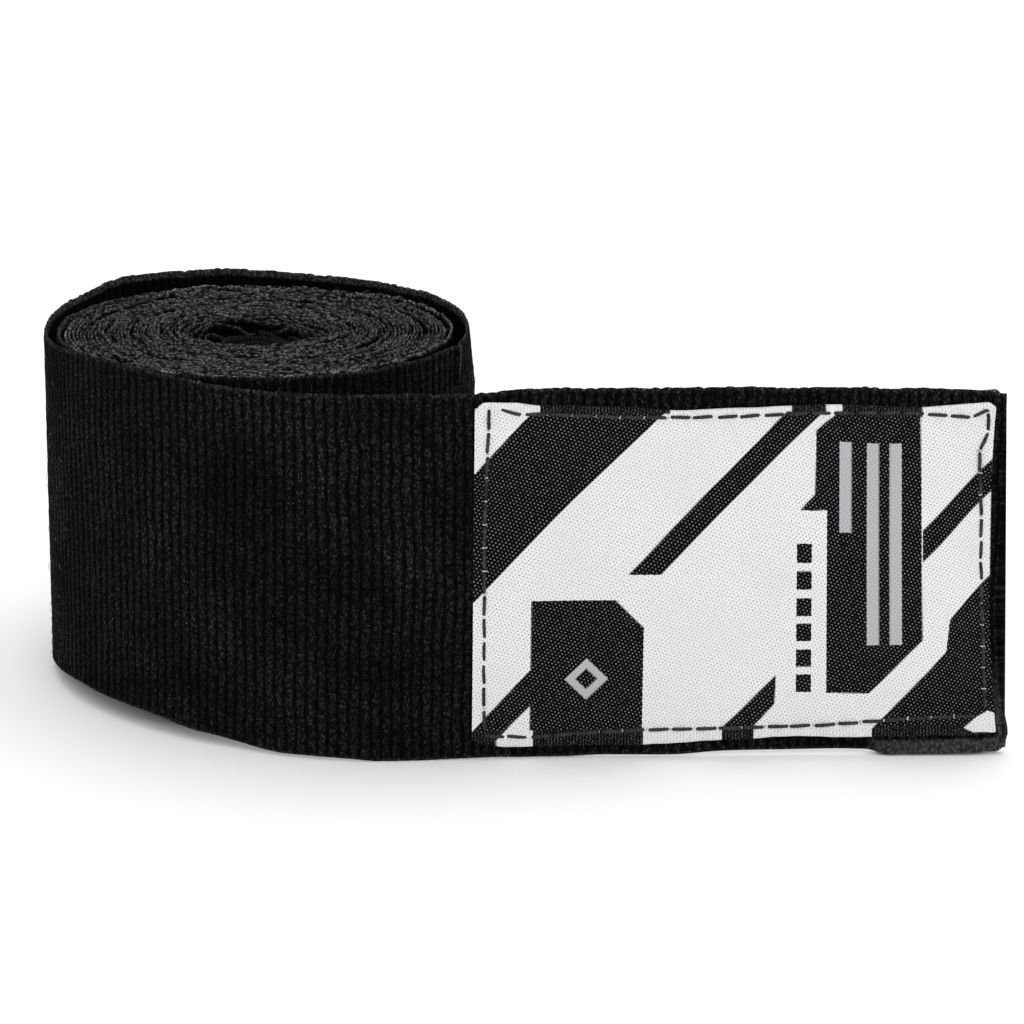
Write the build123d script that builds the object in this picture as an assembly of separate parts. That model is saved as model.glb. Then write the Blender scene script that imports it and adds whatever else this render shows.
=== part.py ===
from build123d import *
import math
import os

# A hand wrap: one long elastic band, wound into a roll that stands on its edge. Its outer end is
# the free tail with the woven label outside and the hook patch inside, and its inner end carries
# the thumb loop. Millimetres, +Z up. The origin is on the floor at the roll's centre, and the
# tail comes off the roll's front (-Y) and runs towards +X.

# The band
BAND_LENGTH = 4572.0
BAND_WIDTH = 50.0
WOUND_THICKNESS = 0.45
TAIL_THICKNESS = 0.6
TAIL_LIFT = 1.0  # the hook patch is longer than the band is wide, and holds the tail off the floor

# The roll, from its outer turn inwards: (radius, degrees) for arcs, or radii of half turns
OUTER_TURN = [(30.3, 90.0), (30.0, 90.0), (29.7, 90.0), (36.0, 39.0)]
OUTER_START = 28.2  # the outer turn leaves the tight ones at the front, this far from the centre
TIGHT_RADIUS = 27.8
SLACK_TURNS = [7.6, 7.2, 6.4]

# The tail swings out in front of the roll and then runs straight. It is modelled as stiff
# sections on upright hinges: bare ones, ones under the label, and the end with the hook patch.
SWING_RADIUS = 47.5
SWING_TURN = 52.5
BARE_SECTIONS = [11.4] * 5
LABEL_SECTIONS = [12.4] * 4
END_LENGTH = 21.6
HINGE_GAP = 0.3  # clear space in the band at each hinge
LABEL_GAP = 0.6

# The thumb loop: a tape folded in half, its ends sewn to both faces of the band's inner end
LOOP_TAPE_WIDTH = 14.0
LOOP_TAPE_THICKNESS = 0.9
LOOP_TOP = 48.0
LOOP_LEG_GAP = 0.6
LOOP_TURNS = [4.0, 2.6]  # radii of the half turns that its free end is curled into
LOOP_ROOT_RADIUS = 5.4
LOOP_SEAM_TURN = 50.0  # degrees of the root half turn where the band lies between its legs
BARTACK_TURNS = [12.0, 38.0]
FLAT_ON_CURVE = 0.01  # a flat dash of thread clears the curled tape by this

# The label, the hook patch and their thread
LABEL_HEIGHT = 47.0
LABEL_THICKNESS = 0.4
LABEL_TOP_BORDER = 1.6
LABEL_END_BORDER = 1.2
PATCH_LENGTH = 20.0
PATCH_HEIGHT = 51.0
PATCH_THICKNESS = 0.7
PATCH_CORNER = 2.5
HOOK_HEIGHT = 0.8
HOOK_WIDTH = 0.3
HOOK_PITCH = 1.9
THREAD_WIDTH = 0.4
THREAD_PROUD = 0.15
STITCH_PITCH = 3.1
STITCH_LENGTH = 2.2
SEAM_INSET = 1.9

OUT = "parts"
os.makedirs(OUT, exist_ok=True)


def save(shape, name):
    shape.label = name
    export_step(shape, os.path.join(OUT, name + ".step"))


def direction(heading):
    return Vector(math.cos(math.radians(heading)), math.sin(math.radians(heading)))


def run_length(runs):
    return sum(radius * math.radians(abs(turn)) for radius, turn in runs)


def half_turns(radii):
    """Half turns to the right, as the band makes on its way in to the core."""
    return [(radius, -180.0) for radius in radii]


def follow(start, heading, runs, side=0.0):
    """Tangent arcs along runs of (radius, turn to the left in degrees), moved left by side."""
    arcs = []
    point = start + direction(heading + 90) * side
    for radius, turn in runs:
        moved_radius = radius - math.copysign(1, turn) * side
        arc = JernArc(start=point, tangent=direction(heading), radius=moved_radius, arc_size=turn)
        arcs.append(arc)
        point = arc @ 1
        heading += turn
    return arcs


def ribbon(start, heading, runs, width, round_end=False):
    """The plan of a strip of this width whose middle follows the runs."""
    left = follow(start, heading, runs, width / 2)
    right = follow(start, heading, runs, -width / 2)
    near_end = Line(left[0] @ 0, right[0] @ 0)
    if round_end:
        far_end = TangentArc(left[-1] @ 1, right[-1] @ 1, tangent=left[-1] % 1)
    else:
        far_end = Line(left[-1] @ 1, right[-1] @ 1)
    return make_face([near_end, far_end] + left + right)


def raised(plan, bottom, height):
    return extrude(Pos(0, 0, bottom) * plan, amount=height)


def block(x, y, z):
    """A box between two values on each axis."""
    size = [high - low for low, high in (x, y, z)]
    middle = [(high + low) / 2 for low, high in (x, y, z)]
    return Pos(*middle) * Box(*size)


# ---- The roll ----

outer_start = Vector(0, -OUTER_START)
tail_root = follow(outer_start, 0, OUTER_TURN)[-1] @ 1
tail_heading = sum(turn for _, turn in OUTER_TURN)
tail_length = sum(BARE_SECTIONS) + sum(LABEL_SECTIONS) + END_LENGTH

# Between the outer turn and the slack core the band makes as many tight turns as its length asks
# for, each half turn smaller than the last.
inward_outer_turn = [(radius, -turn) for radius, turn in reversed(OUTER_TURN)]
root_seam = [(LOOP_ROOT_RADIUS, -LOOP_SEAM_TURN)]
core_runs = half_turns(SLACK_TURNS) + root_seam
tight_length = BAND_LENGTH - tail_length - run_length(inward_outer_turn + core_runs)
tight_count = round(tight_length / (math.pi * (TIGHT_RADIUS + SLACK_TURNS[0]) / 2))
tight_step = (TIGHT_RADIUS - SLACK_TURNS[0]) / tight_count
tight_radii = [TIGHT_RADIUS - tight_step * number for number in range(tight_count)]

roll_runs = inward_outer_turn + half_turns(tight_radii) + core_runs
band_roll = raised(ribbon(tail_root, tail_heading + 180, roll_runs, WOUND_THICKNESS), 0, BAND_WIDTH)
save(band_roll, "band_roll")

# ---- The thumb loop, curled up in the core ----

band_end_runs = roll_runs[:-1]
loop_root = follow(tail_root, tail_heading + 180, band_end_runs)[-1] @ 1
loop_heading = tail_heading + 180 + sum(turn for _, turn in band_end_runs)
loop_runs = half_turns([LOOP_ROOT_RADIUS] + LOOP_TURNS)
loop_width = LOOP_LEG_GAP + 2 * LOOP_TAPE_THICKNESS
loop_outside = ribbon(loop_root, loop_heading, loop_runs, loop_width, round_end=True)
loop_inside = ribbon(loop_root, loop_heading, loop_runs, LOOP_LEG_GAP, round_end=True)
loop_bottom = LOOP_TOP - LOOP_TAPE_WIDTH
save(raised(loop_outside - loop_inside, loop_bottom, LOOP_TAPE_WIDTH), "thumb_loop")

bartacks = []
for turn in BARTACK_TURNS:
    depth = (loop_width + THREAD_PROUD) / 2 + FLAT_ON_CURVE
    place = follow(loop_root, loop_heading, [(LOOP_ROOT_RADIUS, -turn)], -depth)[0]
    tack_plan = Location(place @ 1, (0, 0, loop_heading - turn)) * Rectangle(THREAD_WIDTH, THREAD_PROUD)
    stitch_count = int(LOOP_TAPE_WIDTH / STITCH_PITCH)
    first = loop_bottom + (LOOP_TAPE_WIDTH - (stitch_count - 1) * STITCH_PITCH - STITCH_LENGTH) / 2
    for number in range(stitch_count):
        bartacks.append(raised(tack_plan, first + number * STITCH_PITCH, STITCH_LENGTH))
save(Compound(children=bartacks), "thumb_loop_stitches")

# ---- The tail ----

swing_length = run_length([(SWING_RADIUS, SWING_TURN)])
swing = follow(tail_root, tail_heading, [(SWING_RADIUS, SWING_TURN)])[0]


def tail_point(distance):
    """The place on the tail's middle line at a distance from its root."""
    if distance < swing_length:
        return swing @ (distance / swing_length)
    return swing @ 1 + (swing % 1) * (distance - swing_length)


def section_frame(begin, end):
    """A frame at a section's hinge, X along it and Y towards the roll, and its straight length."""
    hinge, tip = tail_point(begin), tail_point(end)
    angle = math.degrees(math.atan2((tip - hinge).Y, (tip - hinge).X))
    return Location(hinge, (0, 0, angle)), (tip - hinge).length


tail_top = TAIL_LIFT + BAND_WIDTH
label_top = tail_top - LABEL_TOP_BORDER
label_bottom = label_top - LABEL_HEIGHT
outer_face = -TAIL_THICKNESS / 2
inner_face = TAIL_THICKNESS / 2
label_face = outer_face - LABEL_THICKNESS
thread_depth = (label_face - THREAD_PROUD, label_face)


def tail_band(length):
    return block((HINGE_GAP / 2, length - HINGE_GAP / 2), (outer_face, inner_face), (TAIL_LIFT, tail_top))


def label_piece(begin, end):
    return block((begin, end), (label_face, outer_face), (label_bottom, label_top))


def flat_stitches(begin, end):
    """The dashes of the label's top and bottom seams over a section."""
    count = int((end - begin + STITCH_PITCH - STITCH_LENGTH) / STITCH_PITCH)
    first = begin + (end - begin - (count - 1) * STITCH_PITCH - STITCH_LENGTH) / 2
    dashes = []
    for seam_z in (label_bottom + SEAM_INSET, label_top - SEAM_INSET):
        height = (seam_z - THREAD_WIDTH / 2, seam_z + THREAD_WIDTH / 2)
        for number in range(count):
            x = first + number * STITCH_PITCH
            dashes.append(block((x, x + STITCH_LENGTH), thread_depth, height))
    return dashes


def upright_stitches(seam_x, depth):
    """The dashes of a seam that crosses the band, between the top and bottom seams."""
    count = int((LABEL_HEIGHT - 2 * SEAM_INSET) / STITCH_PITCH) - 1
    middle = (label_bottom + label_top) / 2
    first = middle - ((count - 1) * STITCH_PITCH + STITCH_LENGTH) / 2
    width = (seam_x - THREAD_WIDTH / 2, seam_x + THREAD_WIDTH / 2)
    heights = [first + number * STITCH_PITCH for number in range(count)]
    return [block(width, depth, (z, z + STITCH_LENGTH)) for z in heights]


def hook_patch(begin):
    """The hook tape with rounded corners, standing on the floor."""
    outline = Rectangle(PATCH_LENGTH, PATCH_HEIGHT)
    plate = extrude(fillet(outline.vertices(), PATCH_CORNER), amount=PATCH_THICKNESS)
    middle = Vector(begin + PATCH_LENGTH / 2, inner_face + PATCH_THICKNESS, PATCH_HEIGHT / 2)
    return Location(middle, (90, 0, 0)) * plate


def hook_rows(begin):
    """Hooks in rows on the patch, their tips bent left and right in turn."""
    base = inner_face + PATCH_THICKNESS
    stem, tip = HOOK_WIDTH, 2.2 * HOOK_WIDTH
    shape = [(0, 0), (stem, 0), (stem, HOOK_HEIGHT - stem), (tip, HOOK_HEIGHT - stem), (tip, HOOK_HEIGHT)]
    profile = make_face(Polyline(*shape, (0, HOOK_HEIGHT), close=True))
    hook = extrude(profile, amount=HOOK_WIDTH)
    columns = int((PATCH_LENGTH - 2 * PATCH_CORNER) / HOOK_PITCH) + 1
    rows = int((PATCH_HEIGHT - 2 * PATCH_CORNER) / HOOK_PITCH) + 1
    first_x = begin + (PATCH_LENGTH - (columns - 1) * HOOK_PITCH) / 2
    first_z = (PATCH_HEIGHT - (rows - 1) * HOOK_PITCH) / 2
    hooks = []
    for column in range(columns):
        for row in range(rows):
            place = Pos(first_x + column * HOOK_PITCH, base, first_z + row * HOOK_PITCH)
            hooks.append(place * (mirror(hook, about=Plane.YZ) if column % 2 else hook))
    return hooks


distance = 0.0
sections = BARE_SECTIONS + LABEL_SECTIONS
for number, section_length in enumerate(sections, start=1):
    frame, length = section_frame(distance, distance + section_length)
    save(frame * tail_band(length), f"tail_band_{number}")
    label_number = number - len(BARE_SECTIONS)
    if label_number > 0:
        label_begin = 0 if label_number == 1 else LABEL_GAP / 2
        label_end = length - LABEL_GAP / 2
        stitches = flat_stitches(label_begin + SEAM_INSET * (label_number == 1), label_end)
        if label_number == 1:
            stitches += upright_stitches(SEAM_INSET, thread_depth)
        save(frame * label_piece(label_begin, label_end), f"label_{label_number}")
        save(frame * Compound(children=stitches), f"label_stitches_{label_number}")
    distance += section_length

frame, length = section_frame(distance, distance + END_LENGTH)
label_end = length - LABEL_END_BORDER
patch_begin = length - PATCH_LENGTH - HINGE_GAP
end_seam = label_end - SEAM_INSET
end_stitches = flat_stitches(LABEL_GAP / 2, end_seam) + upright_stitches(end_seam, thread_depth)
save(frame * tail_band(length), "tail_band_end")
save(frame * label_piece(LABEL_GAP / 2, label_end), "label_end")
save(frame * Compound(children=end_stitches), "label_stitches_end")
save(frame * hook_patch(patch_begin), "hook_patch")
save(frame * Compound(children=hook_rows(patch_begin)), "hooks")
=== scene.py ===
import math
from functools import partialmethod

import bpy
import numpy as np
from mathutils import Matrix, Vector


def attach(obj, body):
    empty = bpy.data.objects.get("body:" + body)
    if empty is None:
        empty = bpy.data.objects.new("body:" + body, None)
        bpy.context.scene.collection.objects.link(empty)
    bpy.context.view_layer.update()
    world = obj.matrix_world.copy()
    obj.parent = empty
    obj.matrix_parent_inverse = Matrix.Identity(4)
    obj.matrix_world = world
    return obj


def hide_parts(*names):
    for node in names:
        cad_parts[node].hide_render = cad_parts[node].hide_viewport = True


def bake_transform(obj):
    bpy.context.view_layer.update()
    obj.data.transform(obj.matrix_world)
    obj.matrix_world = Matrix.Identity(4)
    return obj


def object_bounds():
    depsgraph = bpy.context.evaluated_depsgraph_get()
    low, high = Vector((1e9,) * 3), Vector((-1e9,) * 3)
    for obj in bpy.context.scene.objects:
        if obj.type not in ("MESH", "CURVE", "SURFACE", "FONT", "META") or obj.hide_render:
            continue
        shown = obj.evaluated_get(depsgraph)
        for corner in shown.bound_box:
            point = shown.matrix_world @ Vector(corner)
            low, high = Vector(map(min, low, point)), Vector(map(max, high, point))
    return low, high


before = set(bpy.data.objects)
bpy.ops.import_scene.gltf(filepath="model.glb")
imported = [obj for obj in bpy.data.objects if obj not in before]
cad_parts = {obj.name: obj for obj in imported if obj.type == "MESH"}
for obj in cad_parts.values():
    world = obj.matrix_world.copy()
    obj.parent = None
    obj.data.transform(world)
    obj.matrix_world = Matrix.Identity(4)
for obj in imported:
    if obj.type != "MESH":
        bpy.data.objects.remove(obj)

# A hand wrap, standing as its roll with the labelled tail pulled open. Lengths below are in
# millimetres; everything that goes into Blender is multiplied by MM.

MM = 0.001
cad_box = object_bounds()
rng = np.random.default_rng(11)

# The band's route, as the CAD has it: tangent arcs of (radius, turn in degrees). Distances along it
# are from the tail's root: below 0 is the loose outer turn, and past that the outermost tight
# half turn.
TIGHT_RADIUS = 27.8
TIGHT_MIDDLE = -0.4  # the tight turns' middle, in y
OUTER_TURN = [(30.3, 90.0), (30.0, 90.0), (29.7, 90.0), (36.0, 39.0)]
OUTER_START = 28.2  # how far in front of the origin the outer turn starts
SWING = (47.5, 52.5)  # the tail's own bend, from its root
SECTIONS = [11.4] * 5 + [12.4] * 4 + [21.6]  # the tail between its hinges, from its root
HINGES = np.concatenate([[0.0], np.cumsum(SECTIONS)[:-1]])
BODIES = ["roll"] + [f"tail_{n}" for n in range(1, 10)] + ["tail_end"]

BAND_WIDTH, HALF_BAND = 50.0, 0.3  # the second is half its thickness
RIB, RIB_DEPTH = 1.4, 0.2  # one rib of the knit with its groove
CREASE = -130.4  # a small pointed fold in the loose turn
CLOTH_END = 127.9

LABEL_START = 57.0
LABEL_WIDTH, LABEL_HEIGHT, LABEL_THICKNESS = 70.0, 47.0, 0.4
LABEL_BED = HALF_BAND + 0.05  # from the band's middle to the label's back
STITCH_PITCH = 3.15

LOOP_TOP, LOOP_WIDTH, LOOP_TAPE, LOOP_GAP = 48.0, 14.0, 0.9, 0.6
LOOP_BEND = 5.4  # the radius of the thumb loop's widest bend
PATCH_START, PATCH_END, PATCH_HEIGHT, PATCH_CORNER = 109.7, 128.1, 51.0, 2.5


# ---- Plan routes ----

class Route:
    """Tangent runs in plan: (radius, turn to the left in degrees), or (length, 0) when straight."""

    def __init__(self, start, heading, runs, first=0.0):
        self.parts = []
        point, heading, distance = np.array(start, float), math.radians(heading), first
        for size, turn in runs:
            curve = math.copysign(1 / size, turn) if turn else 0.0
            length = abs(math.radians(turn)) * size if turn else size
            self.parts.append((distance, point, heading, curve))
            point = self._step(point, heading, curve, np.array([length]))[0]
            heading, distance = heading + curve * length, distance + length
        self.end = distance

    @staticmethod
    def _step(point, heading, curve, moved):
        if curve:
            turned = heading + curve * moved
            x = (np.sin(turned) - math.sin(heading)) / curve
            y = (math.cos(heading) - np.cos(turned)) / curve
        else:
            x, y = moved * math.cos(heading), moved * math.sin(heading)
        return point + np.stack([x, y], -1)

    def at(self, distance):
        """Points and outward (right-hand) normals at distances along the route."""
        distance = np.asarray(distance, float)
        points = np.zeros(distance.shape + (2,))
        headings = np.zeros(distance.shape)
        for number, (first, point, heading, curve) in enumerate(self.parts):
            chosen = distance >= first if number else np.ones(distance.shape, bool)
            moved = distance[chosen] - first
            points[chosen] = self._step(point, heading, curve, moved)
            headings[chosen] = heading + curve * moved
        return points, np.stack([np.sin(headings), -np.cos(headings)], -1)


def smooth(value, low, high):
    """0 below low, 1 above high, and a smooth ramp between."""
    share = np.clip((np.asarray(value, float) - low) / (high - low), 0, 1)
    return share * share * (3 - 2 * share)


def bump(value, middle, width):
    return np.exp(-(((np.asarray(value, float) - middle) / width) ** 2))


TABLE_SIZE = 8192
TABLE = rng.uniform(-1, 1, TABLE_SIZE)


def wander(value, lane=0):
    """Smooth noise from -1 to 1 that changes over about one unit of value."""
    value = np.asarray(value, float)
    low = np.floor(value)
    share = smooth(value - low, 0, 1)
    index = (low + np.asarray(lane) * 977.0).astype(int)
    return TABLE[index % TABLE_SIZE] * (1 - share) + TABLE[(index + 1) % TABLE_SIZE] * share


def drift(x, y, lane=0):
    """The same over a plane: noise that changes over about one unit of x and one of y."""
    row = np.floor(y)
    share = smooth(y - row, 0, 1)
    return wander(x, row * 3 + lane) * (1 - share) + wander(x, row * 3 + 3 + lane) * share


def between(value, knots):
    """A smooth curve through (value, height) knots."""
    places, heights = (np.array(k, float) for k in zip(*knots))
    index = np.clip(np.searchsorted(places, value, side="right") - 1, 0, len(places) - 2)
    share = smooth((value - places[index]) / (places[index + 1] - places[index]), 0, 1)
    return heights[index] * (1 - share) + heights[index + 1] * share


ROLL_START = -sum(radius * math.radians(turn) for radius, turn in OUTER_TURN)
tight_half = TIGHT_RADIUS * math.pi
band_runs = [(TIGHT_RADIUS, 180.0)] + OUTER_TURN + [SWING, (100.0, 0.0)]
band_start = (0.0, 2 * TIGHT_RADIUS - OUTER_START)
band_route = Route(band_start, 180, band_runs, first=ROLL_START - tight_half)


def band_line(distance):
    """The band's middle line with the fabric's own give: the tight turns are a little flattened,
    and the band bellies out just before the tail's root and again before the label."""
    points, out = band_route.at(distance)
    flat = 1 - smooth(distance, ROLL_START, ROLL_START + 36)
    points[..., 1] += flat * (TIGHT_MIDDLE - points[..., 1]) * 0.03
    push = 0.5 * bump(distance, -26, 22) + 1.6 * bump(distance, 46, 15) + 0.25 * wander(distance / 17)
    return points + out * push[..., None], out


# The band's two edges: (distance, height above the floor)
BOTTOM_EDGE = [(-260, 0.3), (-232, 0.4), (-212, 1.4), (-191, 2.6), (-172, 1.4), (-155, 0.7), (-90, 0.6),
               (-60, 0.9), (-24, 1.3), (-2, 2.9), (9, 2.8), (20, 1.7), (34, 0.4), (48, 0.03), (57, 0.03),
               (80, 0.2), (95, 0.7), (109.5, 0.85), (112.3, 0.15), (119, 0.12), (124, 0.4), (128, 0.95)]
TOP_EDGE = [(-260, 49.9), (-166, 50.1), (-122, 50.2), (-108, 50.5), (-91, 50.5), (-76, 50.6), (-60, 51.4),
            (-48, 51.6), (-37, 50.7), (-20, 49.5), (4, 51.2), (14, 51.2), (26, 50.7), (48, 51.0),
            (57, 50.8), (65, 51.4), (89, 51.6), (118, 51.3), (129, 50.6)]


def band_heights(distance):
    bottom = np.maximum(between(distance, BOTTOM_EDGE) + 0.12 * wander(distance / 5, 3), 0.03)
    top = between(distance, TOP_EDGE) + 0.12 * wander(distance / 4, 5)
    return bottom, top


def lean(distance, height):
    """How far the band leans out of its line: the crease is a ridge at its top, which is folded
    inwards beyond it, and the bottom of the tail's end curls outwards in a lip."""
    past = distance - CREASE
    inwards = np.clip(past / 11, 0, 1) * (1 - smooth(past, 20, 36)) * np.clip((height - 42) / 8, 0, 1)
    ridge = bump(past, 0, 0.8) * smooth(height, 34, 50)
    lip = smooth(height, 2.5, 0.7) * smooth(distance, 109, 113) * (1 - smooth(distance, 122, 127.9))
    return 0.5 * ridge + 0.7 * lip - 0.85 * inwards


def tail_skew(distance, height):
    """The tail's end is cut slightly off square and wavy: its bottom corner reaches furthest."""
    hollow = 0.35 * (((height - 25) / 25) ** 2 - 1) + 0.85 * bump(height, 3, 3.5)
    hollow = hollow - 0.4 * bump(height, 18, 6.5) - 0.35 * bump(height, 41, 3.5)
    return ((25 - height) * 0.046 + hollow) * smooth(distance, 88, 129)


def knit_skew(distance, height):
    """The ribs also wander a little from the upright."""
    broad = 0.45 * drift(height / 13, distance / 21)
    return tail_skew(distance, height) + broad + 0.16 * drift(height / 3.5, distance / 3, 50)


# ---- Meshes ----

def signed_volume(points, triangles):
    a, b, c = (points[triangles[:, n]] for n in range(3))
    return np.einsum("ij,ij->i", np.cross(a, b), c).sum()


def mesh_object(name, points, faces, flat, material):
    """A closed mesh in metres, its normals outwards, with each point's place on the flat fabric.
    The first block of faces is the fabric's sides, and the others are its sharp-edged ends."""
    mesh = bpy.data.meshes.new(name)
    faces = [np.asarray(block) for block in faces]
    corners = np.concatenate([block.ravel() for block in faces])
    sizes = np.concatenate([np.full(len(block), block.shape[1]) for block in faces])
    quads = faces[0]
    volume = signed_volume(points, np.concatenate([block[:, :3] for block in faces]))
    volume += signed_volume(points, quads[:, [0, 2, 3]])
    if volume < 0:
        corners = np.concatenate([block[:, ::-1].ravel() for block in faces])
    starts = np.concatenate([[0], np.cumsum(sizes)[:-1]])
    mesh.vertices.add(len(points))
    mesh.vertices.foreach_set("co", (points * MM).astype(np.float32).ravel())
    mesh.loops.add(len(corners))
    mesh.loops.foreach_set("vertex_index", corners.astype(np.int32))
    mesh.polygons.add(len(sizes))
    mesh.polygons.foreach_set("loop_start", starts.astype(np.int32))
    mesh.polygons.foreach_set("use_smooth", np.arange(len(sizes)) < len(quads))
    mesh.update(calc_edges=True)
    edges = np.zeros(len(corners), np.int32)
    mesh.loops.foreach_get("edge_index", edges)
    sharp = np.zeros(len(mesh.edges), bool)
    sharp[edges[quads.size:]] = True
    mesh.edges.foreach_set("use_edge_sharp", sharp)
    place = mesh.attributes.new("flat", "FLOAT_VECTOR", "POINT")
    place.data.foreach_set("vector", flat.astype(np.float32).ravel())
    mesh.materials.append(material)
    obj = bpy.data.objects.new(name, mesh)
    bpy.context.scene.collection.objects.link(obj)
    return obj


def ring_faces(rings, places, offset=0):
    """Quads round a row of closed rings, and a face across each end."""
    index = np.arange(rings * places).reshape(rings, places) + offset
    after = np.roll(index, -1, axis=1)
    quads = np.stack([index[:-1], index[1:], after[1:], after[:-1]], -1).reshape(-1, 4)
    return quads, index[0][::-1].reshape(1, -1), index[-1].reshape(1, -1)


def stored_places(piece):
    places = np.zeros(len(piece.data.vertices) * 3, np.float32)
    piece.data.attributes["flat"].data.foreach_get("vector", places)
    return places.reshape(-1, 3).astype(float)


def store_places(piece, places):
    piece.data.attributes["flat"].data.foreach_set("vector", places.astype(np.float32).ravel())


def strip(name, line, distance, share, outer, inner, heights, material, skew=None, width=None):
    """A closed strip of fabric along a line. share is the rows' places from its bottom edge, 0, to
    its top edge, 1, and outer and inner are its faces' offsets from the line at each point. With
    a width, the stored place measures across the fabric itself instead of up from the floor."""
    bottom, top = (h[:, None] for h in heights)
    height = bottom + (top - bottom) * share
    rows = np.concatenate([np.arange(len(share)), np.arange(len(share))[::-1]])
    side = np.concatenate([np.ones(len(share)), -np.ones(len(share))])
    faces = [face(distance[:, None], height) for face in (outer, inner)]
    offset = np.concatenate([faces[0], faces[1][:, ::-1]], 1)
    height = height[:, rows]
    along = np.repeat(distance[:, None], len(rows), 1)
    place = along if skew is None else along + skew(along, height)
    points, out = line(place)
    points = points + out * offset[..., None]
    solid = np.concatenate([points, height[..., None]], -1)
    across = height if width is None else np.broadcast_to(share[rows] * width, along.shape)
    flat = np.stack([along, across, np.broadcast_to(side, along.shape)], -1)
    quads, first, last = ring_faces(len(distance), len(rows))
    return mesh_object(name, solid.reshape(-1, 3), [quads, first, last], flat.reshape(-1, 3), material)


def tubes(name, lines, radius, material, sides=6):
    """Closed tubes of thread along short lines of points, thinner at their ends. The radius is
    one number, or one for each line."""
    points, walls, ends, places = [], [], [], []
    turn = np.arange(sides) * 2 * math.pi / sides
    offset = 0
    for number, line in enumerate(lines):
        tangent = np.gradient(line, axis=0)
        tangent /= np.linalg.norm(tangent, axis=1)[:, None] + 1e-12
        helper = np.where(np.abs(tangent[:, 2:3]) > 0.9, [[1.0, 0.0, 0.0]], [[0.0, 0.0, 1.0]])
        across = np.cross(tangent, helper)
        across /= np.linalg.norm(across, axis=1)[:, None] + 1e-12
        up = np.cross(across, tangent)
        size = radius[number] if hasattr(radius, "__len__") else radius
        sizes = np.full(len(line), size)
        sizes[[0, -1]] *= 0.35
        ring = across[:, None] * np.cos(turn)[None, :, None] + up[:, None] * np.sin(turn)[None, :, None]
        points.append((line[:, None] + ring * sizes[:, None, None]).reshape(-1, 3))
        quads, first, last = ring_faces(len(line), sides, offset)
        walls.append(quads)
        ends += [first, last]
        places.append(np.repeat(line, sides, 0))
        offset += len(line) * sides
    blocks = [np.concatenate(walls), np.concatenate(ends)]
    return mesh_object(name, np.concatenate(points), blocks, np.concatenate(places), material)


# ---- Materials ----

def feed(tree, value, pin):
    """Puts a field or a plain number into a node's input."""
    if isinstance(value, Field):
        tree.links.new(value.socket, pin)
    else:
        pin.default_value = value


class Field:
    """A number that varies over a surface, as the output of a shader node, with arithmetic."""

    def __init__(self, tree, socket):
        self.tree, self.socket = tree, socket

    def math(self, operation, *others):
        node = self.tree.nodes.new("ShaderNodeMath")
        node.operation = operation
        for pin, value in zip(node.inputs, (self,) + others):
            feed(self.tree, value, pin)
        return Field(self.tree, node.outputs[0])

    __add__ = partialmethod(math, "ADD")
    __sub__ = partialmethod(math, "SUBTRACT")
    __mul__ = partialmethod(math, "MULTIPLY")
    __truediv__ = partialmethod(math, "DIVIDE")
    fraction = partialmethod(math, "FRACT")
    floor = partialmethod(math, "FLOOR")
    size = partialmethod(math, "ABSOLUTE")

    def rest(self):
        """What is left of 1."""
        return (self * -1) + 1

    def ramp(self, low, high):
        """0 below low and 1 above high; the other way round when low is above high."""
        node = self.tree.nodes.new("ShaderNodeMapRange")
        node.interpolation_type = "SMOOTHSTEP"
        self.tree.links.new(self.socket, node.inputs["Value"])
        ends = (low, high, 0.0, 1.0) if low < high else (high, low, 1.0, 0.0)
        for pin, value in zip(("From Min", "From Max", "To Min", "To Max"), ends):
            node.inputs[pin].default_value = value
        return Field(self.tree, node.outputs["Result"])


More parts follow.
